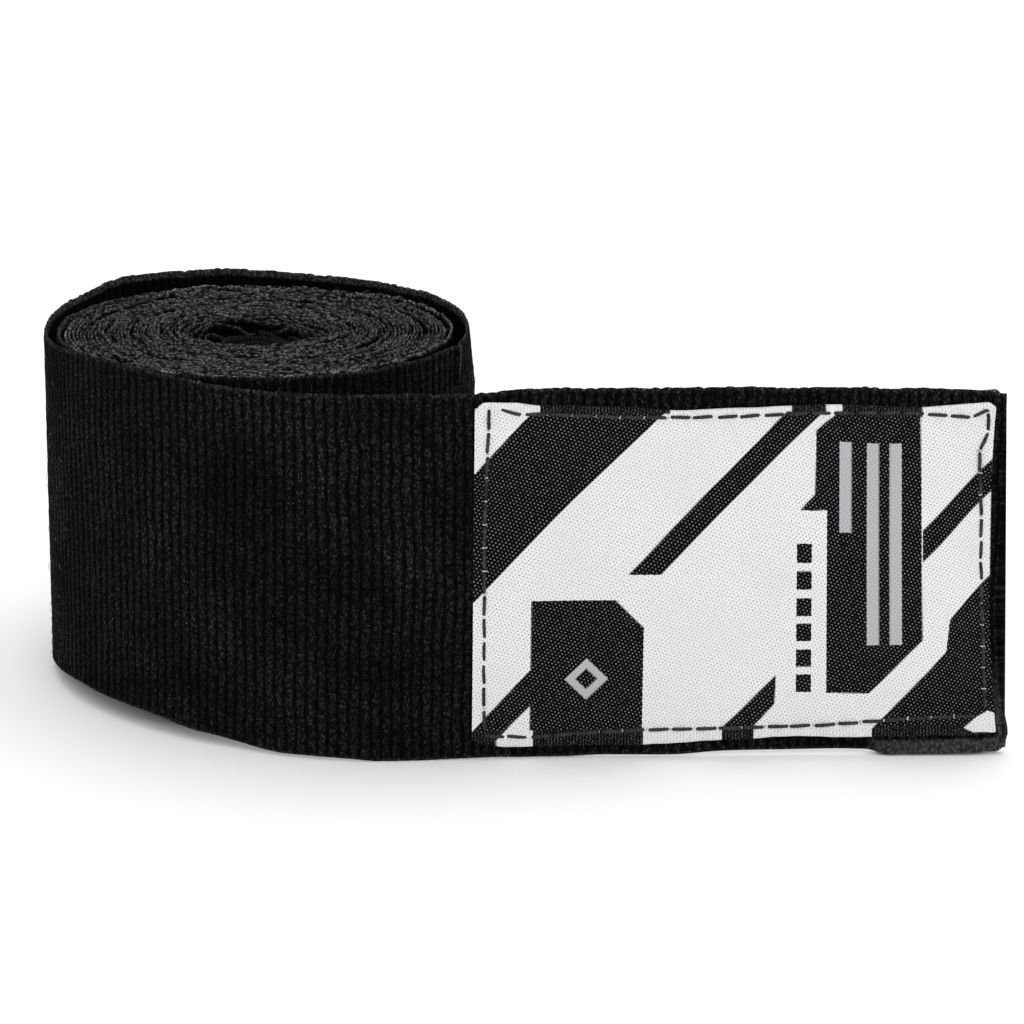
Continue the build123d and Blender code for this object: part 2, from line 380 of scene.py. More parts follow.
class Finish:
    """A material under construction: its shader, and fields of the flat fabric in millimetres."""

    def __init__(self, name, roughness, **constants):
        self.material = bpy.data.materials.new(name)
        self.material.use_nodes = True
        self.tree = self.material.node_tree
        self.shader = self.tree.nodes["Principled BSDF"]
        self.shader.inputs["Roughness"].default_value = roughness
        for socket, value in constants.items():
            self.shader.inputs[socket.replace("_", " ")].default_value = value
        place = self.tree.nodes.new("ShaderNodeAttribute")
        place.attribute_name = "flat"
        self.place = place.outputs["Vector"]
        self.along, self.height, self.side = self.split(self.place)

    def vector(self, x, y, z):
        node = self.tree.nodes.new("ShaderNodeCombineXYZ")
        for pin, value in zip(node.inputs, (x, y, z)):
            feed(self.tree, value, pin)
        return node.outputs[0]

    def split(self, vector):
        """The three fields of a vector."""
        node = self.tree.nodes.new("ShaderNodeSeparateXYZ")
        self.tree.links.new(vector, node.inputs[0])
        return [Field(self.tree, s) for s in node.outputs]

    def vector_math(self, operation, vector, constant):
        node = self.tree.nodes.new("ShaderNodeVectorMath")
        node.operation = operation
        node.inputs[1].default_value = constant
        self.tree.links.new(vector, node.inputs[0])
        return node

    def noise(self, scale, detail=2.0, vector=None):
        """Cloudy noise from about 0.3 to 0.7, with features of about 1 / scale millimetres."""
        node = self.tree.nodes.new("ShaderNodeTexNoise")
        node.inputs["Scale"].default_value = scale
        node.inputs["Detail"].default_value = detail
        self.tree.links.new(vector or self.place, node.inputs["Vector"])
        return Field(self.tree, node.outputs["Fac"])

    def lumps(self, vector):
        """Distance from the middles of cells of about one unit of the vector."""
        node = self.tree.nodes.new("ShaderNodeTexVoronoi")
        node.inputs["Scale"].default_value = 1.0
        self.tree.links.new(vector, node.inputs["Vector"])
        return Field(self.tree, node.outputs["Distance"])

    def blend(self, share, first, second):
        """A colour between two, each a triple or another blend."""
        node = self.tree.nodes.new("ShaderNodeMix")
        node.data_type = "RGBA"
        self.tree.links.new(share.socket, node.inputs["Factor"])
        pins = [s for s in node.inputs if s.type == "RGBA"]
        for pin, colour in zip(pins, (first, second)):
            if isinstance(colour, bpy.types.NodeSocket):
                self.tree.links.new(colour, pin)
            else:
                pin.default_value = (*colour, 1.0)
        return [s for s in node.outputs if s.type == "RGBA"][0]

    def done(self, colour, relief, strength, depth=0.0002):
        self.tree.links.new(colour, self.shader.inputs["Base Color"])
        node = self.tree.nodes.new("ShaderNodeBump")
        node.inputs["Strength"].default_value = strength
        node.inputs["Distance"].default_value = depth
        self.tree.links.new(relief.socket, node.inputs["Height"])
        self.tree.links.new(node.outputs[0], self.shader.inputs["Normal"])
        return self.material


FABRIC = dict(Sheen_Weight=0.005, Sheen_Roughness=0.5, Specular_IOR_Level=0.02)


def knit_material():
    """Black ribbed knit: rough columns of loops, painted shade in the grooves between them, and pale
    lint. The loose turn's inner face gets painted shade below its rim and a painted highlight on
    the rim, and the crease's ridge gets a painted highlight.
    """
    m = Finish("ribbed_knit", 0.95, **FABRIC)
    rib = (m.along / RIB + (m.noise(0.45) - 0.5) * 0.5).fraction()
    # column: 1 on a rib and 0 in its groove; the colour below paints shade into the grooves
    column = ((rib - 0.5).size() * 2).ramp(1.0, 0.3)
    clear = m.noise(0.045).ramp(0.35, 0.6)
    loops = m.lumps(m.vector(m.along / 0.42, m.height / 0.6, m.side * 9)).ramp(0.75, 0.1)
    strokes = m.noise(1.0, 3, m.vector(m.along / 0.2, m.height / 0.4, m.side * 9))
    fuzz = m.noise(5.5, 3)
    patchy = m.noise(0.1)
    lint = m.lumps(m.vector(m.along / 1.1, m.height / 0.7, m.side * 5)).ramp(0.1, 0.05)
    lint = lint * m.noise(0.9).ramp(0.5, 0.62)
    # inner: the loose outer turn's inner face in the roll, which gets painted shade below its rim and a
    # painted highlight on the rim
    inner = m.side.ramp(0.5, -0.5) * m.along.ramp(-6.0, -14.0)
    # edge: the knit's paler top and bottom edges, reaching further down on that inner face
    edge = ((m.height - 25).size() + inner * 0.5).ramp(24.35, 24.8)
    rough = strokes.ramp(0.42, 0.7)
    shade = (column * (clear * 0.35 + 0.55) + 0.1) * (rough * 0.85 + 0.08) * (loops * 0.8 + 0.2)
    # patchy tone at random, and painted shade on the inner face below its rim
    shade = shade * (patchy.ramp(0.2, 0.75) * 0.6 + 0.4) * (inner * edge.rest() * -0.8 + 1)
    # the paler edges, with a painted highlight on the inner face's rim
    shade = shade + edge * (loops * 0.6 + 0.2) * (rough * 0.8 + 0.15) * (inner * 1.6 + 0.7)
    lip = m.height.ramp(2.1, 1.6) * m.along.ramp(109.5, 111.5)
    lip = lip.math("MAXIMUM", m.along.ramp(126.2, 127.2) * m.height.ramp(15.0, 3.0))
    shade = shade + lip * (loops * 0.8 + 0.45) * (rough * 0.65 + 0.35)
    # painted highlight along the crease's ridge, where the fold catches the light
    fold = (m.along - CREASE).size().ramp(0.5, 0.15) * m.height.ramp(44.5, 48.0)
    fold = fold * m.side.ramp(-0.5, 0.5)
    shade = shade + fold * (rough * 0.6 + 0.5)
    colour = m.blend(shade.math("MINIMUM", 1.0), (0.0007, 0.0007, 0.0008), (0.095, 0.095, 0.096))
    colour = m.blend(lint, colour, (0.09, 0.09, 0.09))
    return m.done(colour, loops * 0.4 + rough * 0.6 + column * 0.4 + fuzz * 0.3, 1.0, 0.00025)


def wound_material():
    """The same knit on the wound turns, seen on its edges: charcoal, matted and nubby. Here the
    third part of the stored place is painted light: 0 for painted shade down in a gap, 1 on most
    turns' tops and up to 1.7 for a painted highlight on the outermost one's."""
    m = Finish("wound_knit", 1.0, **FABRIC)
    nub = m.lumps(m.vector(m.along / 0.55, m.height / 0.5, 0.0)).ramp(0.8, 0.1)
    fuzz = m.noise(6.0, 3)
    patchy = m.noise(0.12)
    lint = m.lumps(m.vector(m.along / 1.3, m.height / 0.8, 0.0)).ramp(0.12, 0.05)
    lint = lint * m.noise(0.7).ramp(0.52, 0.62)
    shade = (nub * 0.95 + 0.04) * (fuzz.ramp(0.32, 0.66) * 0.85 + 0.15)
    # m.side here holds the painted light that wound_piece stores: painted shade in the gaps, the ring
    # gaps and the core, and a painted highlight on the outermost turns
    shade = shade * (patchy.ramp(0.15, 0.8) * 0.6 + 0.5) * m.side
    colour = m.blend(shade.math("MINIMUM", 1.0), (0.0015, 0.0015, 0.0015), (0.35, 0.345, 0.342))
    # the pale lint is hidden where the painted shade lies
    colour = m.blend(lint * m.side.math("MINIMUM", 1.0), colour, (0.3, 0.29, 0.28))
    return m.done(colour, nub + fuzz * 0.6, 1.0, 0.00035)


def tape_material(name, dark, light):
    """Closely woven narrow tape, or the matted back of hook tape."""
    m = Finish(name, 0.85, **FABRIC)
    warp = ((m.along / 0.5).fraction() - 0.5).size() * 2
    weft = ((m.height / 0.42 + (m.along / 0.5).floor() * 0.5).fraction() - 0.5).size() * 2
    fuzz = m.noise(4.0, 3)
    shade = warp.ramp(1.0, 0.3) * weft.ramp(1.0, 0.4) * fuzz.ramp(0.25, 0.7)
    return m.done(m.blend(shade, dark, light), shade + fuzz * 0.4, 0.8, 0.0002)


def thread_material(name, dark, light):
    """Twisted thread, with fine plies across it."""
    m = Finish(name, 0.6, Sheen_Weight=0.05, Specular_IOR_Level=0.3)
    ply = (((m.along + m.height) / 0.35).fraction() - 0.5).size() * 2
    shade = ply.ramp(1.0, 0.2) * m.noise(3.0).ramp(0.3, 0.65)
    return m.done(m.blend(shade, dark, light), ply, 0.5, 0.00008)


def bar(left, bottom, right, top):
    return [(left, bottom), (right, bottom), (right, top), (left, top)]


# The label's design, in millimetres from its lower left corner: convex shapes woven in black on
# white, and plain grey bars and a plain diamond woven on the black.
BLACK_SHAPES = [
    [(-2, 18.1), (25.1, 45.2), (7.4, 45.2), (-2, 34.9)],
    [(20.5, 23.4), (24.9, 23.4), (46.5, 45.2), (41.6, 45.2)],
    [(7.7, 1.8), (22.8, 1.8), (22.8, 16.2), (18.9, 20.1), (7.7, 20.1)],
    [(-2, -4.8), (1.4, -1.3), (7.8, 5.4), (7.8, 10.6), (-2, -0.2)],
    [(33.2, 1.8), (37.3, 1.8), (40.3, 5.2), (40.4, 9.3)],
    [(47.1, 6.6), (52.8, 6.5), (60.0, 13.9), (59.8, 45.3), (48.4, 45.3), (47.1, 44.1)],
    [(45.5, 33.9), (47.2, 31.8), (47.2, 44.2), (45.6, 42.7)],
    [(43.1, 31.6), (47.2, 31.8), (47.2, 35.8), (45.4, 33.8)],
    [(60.0, 24.8), (72.0, 36.8), (72.0, 41.3), (60.0, 29.3)],
    [(53.2, 1.4), (55.5, 3.9), (63.3, 12.2), (72, 21.2), (72, -2), (53.2, -2)],
    [(63.3, 12.2), (63.9, 16.7), (67.8, 20.9), (72, 25.3), (72, 12)],
]
# Where the weave turns over the hems, the design breaks into black blocks: (left, right, bottom)
HEM_BLOCKS = [(8.5, 25.7, 45.0), (42.2, 46.9, 45.0), (49.1, 60.0, 45.0),
              (-2, 3.2, -1.0), (8.1, 22.9, -1.0), (33.3, 37.6, -1.0)]
BLACK_SHAPES += [bar(left, bottom, right, bottom + 3) for left, right, bottom in HEM_BLOCKS]
WHITE_SHAPES = [[(65.6, 1.3), (67.0, 0.7), (71.5, 0.8), (71.5, 3.0), (69.0, 3.8), (66.9, 2.5)]]
GREY_SHAPES = [
    bar(52.5, 13.4, 54.1, 41.4),
    bar(55.6, 13.4, 57.2, 41.4),
    bar(48.8, 29.0, 50.4, 41.4),
    [(12.3, 9.0), (15.2, 6.1), (18.1, 9.0), (15.2, 11.9)],
]
GREY_GAPS = [[(13.7, 9.0), (15.2, 7.5), (16.7, 9.0), (15.2, 10.5)]]
SMALL_BARS = [bar(43.1, z, 45.1, z + 2.5) for z in np.arange(6.8, 28.0, 3.6).tolist()]
THREAD = 0.168  # from one thread of the weave to the next


def label_material():
    """Damask in an eight-shaft satin: every eighth crossing shows a dot of the other yarn, each
    row's dots three threads on from the last row's. The hems are hatched."""
    m = Finish("woven_label", 0.8, Specular_IOR_Level=0.03)
    snap = m.vector_math("SNAP", m.vector(m.along, m.height, 0.0), (THREAD, THREAD, 1.0))
    u, v, _ = m.split(snap.outputs[0])
    corner = m.vector(u, v, 1.0)

    def inside(shape):
        """How far in from a convex shape's sides: above 0 inside it."""
        found = None
        turned = sum(a[0] * b[1] - a[1] * b[0] for a, b in zip(shape, shape[1:] + shape[:1]))
        for a, b in zip(shape, shape[1:] + shape[:1]):
            x, y = (a[1] - b[1], b[0] - a[0]) if turned > 0 else (b[1] - a[1], a[0] - b[0])
            size = math.hypot(x, y)
            inwards = (x / size, y / size, -(x * a[0] + y * a[1]) / size)
            node = m.vector_math("DOT_PRODUCT", corner, inwards)
            edge = Field(m.tree, node.outputs["Value"])
            found = edge if found is None else found.math("MINIMUM", edge)
        return found

    def within(shapes):
        """1 inside any of the shapes."""
        found = inside(shapes[0])
        for shape in shapes[1:]:
            found = found.math("MAXIMUM", inside(shape))
        return found.ramp(-0.05, 0.05)

    black = (within(BLACK_SHAPES) - within(WHITE_SHAPES)).math("MAXIMUM", 0.0)
    black = black.math("MAXIMUM", within(SMALL_BARS))
    grey = (within(GREY_SHAPES) - within(GREY_GAPS)).math("MAXIMUM", 0.0)

    crossing = ((m.along / THREAD).floor() + (m.height / THREAD).floor() * 3 + 0.5) / 8
    dot = crossing.fraction().math("LESS_THAN", 0.125)
    hem = (m.height - 23.5).size().ramp(21.5, 21.7)
    hatch = (((m.along / 0.43).fraction() - 0.5).size() * 2).ramp(0.45, 0.9)
    fuzz = m.noise(3.5, 3)
    tone = m.noise(0.12)
    dot = dot * (hem * -0.6 + 1) + hatch * hem * (fuzz.ramp(0.35, 0.65) * 0.35 + 0.1)
    speckle = m.noise(6.0, 2).ramp(0.3, 0.7)
    white = m.blend(speckle, (0.60, 0.60, 0.605), (0.86, 0.86, 0.865))
    white = m.blend(dot * (fuzz.ramp(0.3, 0.6) * 0.5 + 0.5), white, (0.24, 0.24, 0.245))
    white = m.blend(tone.ramp(0.35, 0.7) * 0.25, white, (0.62, 0.62, 0.63))
    dark = dot * (fuzz.ramp(0.33, 0.6) * 0.8 + 0.2) * (hem * -0.5 + 1)
    dark = m.blend(dark, (0.0025, 0.0025, 0.0028), (0.24, 0.24, 0.245))
    plain = m.blend(dot * 0.5, (0.42, 0.42, 0.43), (0.2, 0.2, 0.21))
    colour = m.blend(black, white, dark)
    colour = m.blend(grey, colour, plain)
    back = m.side.ramp(0.5, -0.5)
    colour = m.blend(back, colour, (0.3, 0.3, 0.3))
    return m.done(colour, dot * 0.8 + fuzz * 0.4, 0.55, 0.00012)


knit = knit_material()
wound = wound_material()
woven_label = label_material()
loop_tape = tape_material("loop_tape", (0.002, 0.002, 0.002), (0.03, 0.03, 0.031))
hook_tape = tape_material("hook_tape", (0.012, 0.012, 0.013), (0.26, 0.26, 0.265))
black_thread = thread_material("black_thread", (0.003, 0.003, 0.003), (0.037, 0.037, 0.038))
pale_thread = thread_material("pale_thread", (0.3, 0.3, 0.3), (0.55, 0.55, 0.55))
lint_fibre = thread_material("lint_fibre", (0.03, 0.03, 0.03), (0.16, 0.155, 0.15))


# ---- The band's faces ----

def rib_profile(distance):
    """1 on the flat top of a rib and 0 at the bottom of the groove."""
    share = np.mod(distance / RIB, 1.0)
    return 1 - np.abs(2 * share - 1) ** 2.6


def edge_rounding(height, heights, reach=0.35):
    """0 at the cloth's two edges, rising on a round curve to 1 at a reach in from them."""
    near = np.minimum(height - heights[0][:, None], heights[1][:, None] - height)
    return np.sqrt(np.clip(1 - (1 - np.clip(near / reach, 0, 1)) ** 2, 0.0, 1))


def rib_face(side, lane, heights):
    """A ribbed face's offset; side is 1 or -1, and lane picks the noise of its lumps."""
    def offset(distance, height):
        rib = np.floor(distance / RIB + 0.001)
        lump = wander(height / 0.9, rib + lane) * 0.05
        profile = rib_profile(distance)
        proud = HALF_BAND - RIB_DEPTH * (1 - profile) + lump * profile
        return side * proud * edge_rounding(height, heights) + lean(distance, height)
    return offset


RIB_STEPS = np.array([0.0, 0.07, 0.16, 0.3, 0.5, 0.7, 0.84, 0.93]) * RIB
# rows of points as shares of the height, closest together at the edges
BAND_EDGE = [0.0, 0.0015, 0.004, 0.008]
BAND_ROWS = np.concatenate([BAND_EDGE, np.linspace(0.018, 0.982, 62), [0.992, 0.996, 0.9985, 1.0]])


def rib_distances(first, last):
    """Places for rings over the ribs between two distances."""
    ribs = np.arange(math.floor(first / RIB), math.ceil(last / RIB))
    steps = (ribs[:, None] * RIB + RIB_STEPS).ravel()
    return np.concatenate([[first], steps[(steps > first + 0.02) & (steps < last - 0.02)], [last]])


def band_piece(name, first, last):
    distance = rib_distances(first, last)
    heights = band_heights(distance)
    nubs = 0.1 * wander(distance / (RIB / 2), 9) + 0.1 * rib_profile(distance)
    heights = (heights[0], heights[1] + nubs)
    faces = rib_face(1, 0, heights), rib_face(-1, 400, heights)
    piece = strip(name, band_line, distance, BAND_ROWS, *faces, heights, knit, knit_skew, BAND_WIDTH)
    return piece


def cloth_size(first, last):
    return (BAND_WIDTH * MM, (last - first) * MM)


# Middles of the tail's sections, at grooves: the cloth is cut there, so that each piece spans one hinge
MIDDLES = [round((low + high) / 2 / RIB) * RIB for low, high in zip(HINGES, HINGES[1:])]
MIDDLES = [-5.6] + MIDDLES + [HINGES[9] + 6.0]


def bend(piece, number, end=None):
    """Bakes the piece's placement into its mesh. Where it would bend over a tail hinge, from one
    section's middle to the next one's or the end, is worked out but not used.
    """
    places = band_route.at(np.array([MIDDLES[number - 1], end or MIDDLES[number]]))[0]
    ends = [(x * MM, y * MM, 0.0) for x, y in places]
    BODIES[number - 1]
    BODIES[number]
    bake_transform(piece)



TURN_START = 72.0  # the wound turns take over from the outer one this far before ROLL_START
outer_cuts = [ROLL_START - TURN_START - 0.1, -100.8, MIDDLES[0]]
for number, (first, last) in enumerate(zip(outer_cuts, outer_cuts[1:]), start=1):
    piece = band_piece(f"outer_turn_{number}", first, last)
    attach(piece, "roll")
    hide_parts("band_roll")
    cloth_size(first, last)

for number in range(1, 11):
    first = MIDDLES[number - 1]
    last = MIDDLES[number] if number < 10 else CLOTH_END
    piece = band_piece(f"tail_cloth_{number}", first, last)
    bend(piece, number, LABEL_START + 0.6 if number == 6 else None)
    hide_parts(f"tail_band_{number}" if number < 10 else "tail_band_end")
    cloth_size(first, last)


# ---- The wound turns ----

TIGHT_TURNS, SLACK_TURNS = 36.3, 2.6
FIRST_RADIUS, TIGHT_DEPTH, SLACK_PITCH = 27.35, 19.0, 0.85


def wound_line():
    """The tight turns and the slack ones inside them, as points in plan with the distance along
    them: evenly pitched, a little flattened, and drawn out round the slack core. The first turn
    stands off a little at the back."""
    start = TURN_START / TIGHT_RADIUS
    turned = np.linspace(start, (TIGHT_TURNS + SLACK_TURNS) * 2 * math.pi, 60000)
    tight = np.minimum(turned, TIGHT_TURNS * 2 * math.pi) / (TIGHT_TURNS * 2 * math.pi)
    slack = np.maximum(turned - TIGHT_TURNS * 2 * math.pi, 0) / (2 * math.pi)
    radius = FIRST_RADIUS - TIGHT_DEPTH * tight - SLACK_PITCH * slack + 1.5 * bump(turned, 3.95, 0.75)
    angle = -math.pi / 2 - turned
    loose = smooth(radius, 14, 7)
    waves = np.sin(3 * angle + 0.5) * 0.6 + np.sin(5 * angle + 2) * 0.4
    radius = radius + 0.07 * wander(turned * 1.3) + (0.25 + 0.35 * np.minimum(slack, 1.5)) * loose * waves
    drawn = np.clip((20 - radius) / 12, 0, 1) ** 1.5
    x = radius * (1 + 0.14 * drawn) * np.cos(angle)
    y = radius * (0.97 - 0.08 * drawn) * np.sin(angle) + TIGHT_MIDDLE
    points = np.stack([x, y], -1)
    distance = np.concatenate([[0], np.cumsum(np.linalg.norm(np.diff(points, axis=0), axis=1))])
    return points, distance, radius, turned


wound_points, wound_distance, wound_radius, wound_turned = wound_line()
WOUND_LENGTH = wound_distance[-1]


def wound_route(distance):
    """Points and normals on the wound turns at distances along them."""
    def point(moved):
        return [np.interp(distance + moved, wound_distance, wound_points[:, n]) for n in range(2)]

    dx, dy = (after - before for after, before in zip(point(0.4), point(-0.4)))
    size = np.hypot(dx, dy) + 1e-9
    return np.stack(point(0), -1), np.stack([-dy / size, dx / size], -1)


def ring_gap(distance, radius):
    """1 where the winding tension changed and a turn or two sits low between its neighbours."""
    radius = radius + 0.35 * wander(distance / 23, 15)
    weight = 0.7 + 0.5 * wander(distance / 31, 16)
    rings = bump(radius, 23.6, 0.42) + 0.9 * bump(radius, 17.2, 0.45) + 0.8 * bump(radius, 12.4, 0.4)
    return np.clip(rings * weight, 0, 1)


def wound_heights(distance):
    """The turns' edges, uneven at the top and lower in the gaps and the core."""
    radius = np.interp(distance, wound_distance, wound_radius)
    top = 50.0 + 0.3 * wander(distance / 24, 2) + 0.22 * wander(distance / 5, 4)
    top += 0.22 * wander(distance / 0.7, 6)
    core = 3.0 * smooth(radius, 10.5, 6.5) * (0.55 + 0.45 * wander(distance / 7, 8))
    top -= 1.6 * ring_gap(distance, radius) + core
    turned = np.mod(np.interp(distance, wound_distance, wound_turned), 2 * math.pi)
    bottom = 0.05 + 0.2 * (1 + wander(distance / 9, 7))
    bottom += 2.2 * bump(turned, 0.9, 0.75) * smooth(radius, 20, 25.5)
    return bottom, top


WOUND_ROWS = np.array([0.0, 0.004, 0.02, 0.5, 0.94, 0.975, 0.988, 0.996, 1.0])


def wound_face(side, lane, heights):
    def offset(distance, height):
        nub = 0.5 + 0.5 * rib_profile(distance + lane * 0.5)
        proud = 0.10 + 0.11 * nub + 0.08 * wander(distance / 0.6, lane)
        return side * proud * (0.1 + 0.9 * edge_rounding(height, heights, 0.6))
    return offset


def wound_piece(name, first, last):
    """A stretch of the wound turns, which also stores painted light for each point: painted shade
    down in the gaps between turns, in the ring gaps and in the core, and a painted highlight on
    the outermost turns.
    """
    step = 0.35
    distance = np.linspace(first, last, int((last - first) / step))
    heights = wound_heights(distance)
    faces = wound_face(1, 20, heights), wound_face(-1, 60, heights)
    piece = strip(name, wound_route, distance, WOUND_ROWS, *faces, heights, wound)
    places = stored_places(piece)
    radius = np.interp(places[:, 0], wound_distance, wound_radius)
    depth = wound_heights(places[:, 0])[1] - places[:, 1]
    # painted shade down in the gaps between turns and in the ring gaps
    painted_light = smooth(depth, 0.42, 0.0) * (1 - 0.85 * ring_gap(places[:, 0], radius))
    # painted shade in the core
    painted_light = painted_light * (1 - 0.5 * smooth(radius, 10.5, 7.5))
    # painted highlight on the outermost turns
    places[:, 2] = painted_light * (1 + 0.7 * smooth(radius, 25.9, 26.7))
    store_places(piece, places)
    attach(piece, "roll")
    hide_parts("band_roll")
    cloth_size(first, last)


wound_cuts = [0.0, 0.3 * WOUND_LENGTH, 0.63 * WOUND_LENGTH, WOUND_LENGTH - 1]
for number, (first, last) in enumerate(zip(wound_cuts, wound_cuts[1:]), start=1):
    wound_piece(f"wound_turns_{number}", first, last)


# ---- The thumb loop ----

loop_route = Route((0.0, 5.6), 0, [(LOOP_BEND, -180.0), (4.0, -180.0), (2.6, -150.0)])
LOOP_LEG = (LOOP_GAP + LOOP_TAPE) / 2


def loop_line(distance):
    """Out along one leg, round the folded end, and back along the other."""
    reach = loop_route.end
    fold = LOOP_LEG * math.pi
    there = np.clip(distance, 0, reach)
    back = np.clip(2 * reach + fold - distance, 0, reach)
    turn = np.clip((distance - reach) / fold, 0, 1) * math.pi
    going = distance < reach + fold / 2
    points, out = loop_route.at(np.where(going, there, back))
    tip, tip_out = loop_route.at(np.array([reach]))
    ahead = np.array([-tip_out[0, 1], tip_out[0, 0]])
    in_fold = (turn > 0) & (turn < math.pi)
    side = np.where(going, 1.0, -1.0)
    normal = np.where(in_fold[..., None], np.cos(turn)[..., None] * tip_out[0]
                      + np.sin(turn)[..., None] * ahead, out * side[..., None])
    base = np.where(in_fold[..., None], tip[0], points)
    return base + normal * LOOP_LEG, normal


loop_length = 2 * loop_route.end + LOOP_LEG * math.pi
loop_distance = np.linspace(0, loop_length, 150)
loop_heights = (LOOP_TOP - LOOP_WIDTH + 0.2 * wander(loop_distance / 6),
                LOOP_TOP + 0.1 + 0.6 * wander(loop_distance / 5, 2))
LOOP_ROWS = np.array([0, 0.01, 0.04, 0.3, 0.6, 0.9, 0.96, 0.99, 1])


def tape_face(side):
    def offset(distance, height):
        return side * LOOP_TAPE / 2 * (0.25 + 0.75 * edge_rounding(height, loop_heights, 0.5))
    return offset


loop = strip("thumb_loop_tape", loop_line, loop_distance, LOOP_ROWS, tape_face(1), tape_face(-1),
             loop_heights, loop_tape)
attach(loop, "roll")
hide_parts("thumb_loop")

TACK_PLACES = (12.0, 38.0)  # degrees round the loop's widest bend
tacks = []
for turn in TACK_PLACES:
    at, out = loop_route.at(np.array([LOOP_BEND * math.radians(turn)]))
    for z in np.arange(LOOP_TOP - 12.5, LOOP_TOP - 1.5, 1.0):
        middle = at[0] + out[0] * (LOOP_LEG + LOOP_TAPE / 2 + 0.03)
        rise = np.array([[0, 0, -0.42], [0, 0, -0.2], [0, 0, 0.2], [0, 0, 0.42]])
        tacks.append(np.array([*middle, z]) + rise)
bartacks = tubes("loop_bartacks", tacks, 0.16, black_thread)
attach(bartacks, "roll")
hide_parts("thumb_loop_stitches")


# ---- The label ----

# Heights above the floor along the label: of its design's zero line, and of its two edges
LABEL_BASE = [(0, 2.2), (35, 2.3), (70, 2.6)]
LABEL_BOTTOM = [(0, 2.3), (5, 1.7), (11, 1.65), (22, 1.85), (34, 2.45), (44, 2.8), (50, 2.6), (56, 2.65),
                (63, 2.75), (70, 3.0)]
LABEL_TOP = [(0, 49.8), (5, 49.7), (9, 49.2), (20, 49.0), (26, 48.6), (36, 48.9), (48, 49.25), (60, 48.9),
             (67, 49.4), (70, 49.6)]


def label_skew(distance, height):
    """The label leans with the tail's end, and its right edge is hollow."""
    u = distance - LABEL_START
    hollow = (((height - 26) / 24) ** 2 - 1) * smooth(u, 61, LABEL_WIDTH)
    return (25 - height) * 0.052 * smooth(u, 14, LABEL_WIDTH) + hollow


def label_heights(distance):
    """The label's edges, rounded at its corners and drawn in a little by the seam."""
    u = distance - LABEL_START
    bottom = between(u, LABEL_BOTTOM)
    top = between(u, LABEL_TOP)
    corner = 0.9 * bump(u, 0, 0.7) + 0.6 * bump(u, LABEL_WIDTH, 0.5)
    ripple = 0.07 * wander(u / 3.1, 12)
    return bottom + 0.6 * corner + ripple, top - corner + ripple


def label_face(proud, heights):
    """The offset of the label's face: drawn down along its seams, puckered, billowing between
    them, and thicker at its hems."""
    def offset(distance, height):
        u = distance - LABEL_START
        v = height - 2.4
        near = np.minimum(v, LABEL_HEIGHT - v)
        quilt = -0.09 * bump(near, 1.9, 0.7) - 0.1 * (bump(u, 1.7, 0.7) + bump(u, LABEL_WIDTH - 1.7, 0.7))
        pucker = 0.06 * np.sin(2 * math.pi * u / STITCH_PITCH) * smooth(near, 4.5, 1.5)
        billow = 0.14 * drift(u / 11, v / 13, 30) * smooth(near, 1, 8)
        hem = 0.1 * smooth(near, 2.4, 1.8) + 0.1 * smooth(np.minimum(u, LABEL_WIDTH - u), 2.4, 1.9)
        rounded = edge_rounding(height, heights, 0.3)
        return LABEL_BED + (proud + quilt + pucker + billow + hem) * (0.15 + 0.85 * rounded)
    return offset


LABEL_CUTS = [LABEL_START] + MIDDLES[7:10] + [LABEL_START + LABEL_WIDTH]
LABEL_ROWS = np.concatenate([[0, 0.002, 0.005], np.linspace(0.01, 0.99, 95), [0.995, 0.998, 1.0]])


def label_flat(piece):
    """The label's own coordinates, from its lower left corner; its upper left part is drawn up."""
    places = stored_places(piece)
    places[:, 0] -= LABEL_START
    places[:, 1] -= between(places[:, 0], LABEL_BASE)
    places[:, 1] -= 0.9 * smooth(places[:, 1], 18, 35) * (1 - smooth(places[:, 0], 40, 56))
    store_places(piece, places)


FIRST_HINGE = 7  # the label's first piece lies over this hinge, and the others over the next ones
for number, (first, last) in enumerate(zip(LABEL_CUTS, LABEL_CUTS[1:]), start=1):
    distance = np.linspace(first, last, int((last - first) / 0.35) + 1)
    heights = label_heights(distance)
    faces = label_face(LABEL_THICKNESS, heights), label_face(0.0, heights)
    piece = strip(f"label_cloth_{number}", band_line, distance, LABEL_ROWS, *faces, heights,
                  woven_label, label_skew)
    label_flat(piece)
    bend(piece, number + FIRST_HINGE - 1)
    stood_for = {1: ["label_1", "label_2"], 2: ["label_3"], 3: ["label_4"], 4: ["label_end"]}[number]
    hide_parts(*stood_for)


def on_band(distance, height, offset, skew=label_skew):
    """A point on the band, from its distance along it, its height and its offset from the middle."""
    points, out = band_line(distance + skew(distance, height))
    return np.concatenate([points + out * offset[..., None], height[..., None]], -1)


def label_point(u, v, proud):
    """A point on the label's face, proud of it by this much."""
    offset = LABEL_BED + LABEL_THICKNESS - 0.04 + proud
    return on_band(u + LABEL_START, between(u, LABEL_BASE) + v, offset)


# One dash, from end to end: its share of the pitch, its tilt, and how proud it stands
DASH_SHARE = np.array([0.05, 0.12, 0.3, 0.5, 0.7, 0.88, 0.95])
DASH_TILT = np.array([-1, -0.9, -0.5, 0, 0.5, 0.9, 1])
DASH_PROUD = np.array([-0.2, 0.03, 0.10, 0.12, 0.10, 0.03, -0.2])
MARK_PROUD = np.array([-0.1, 0.0, 0.0, -0.1])


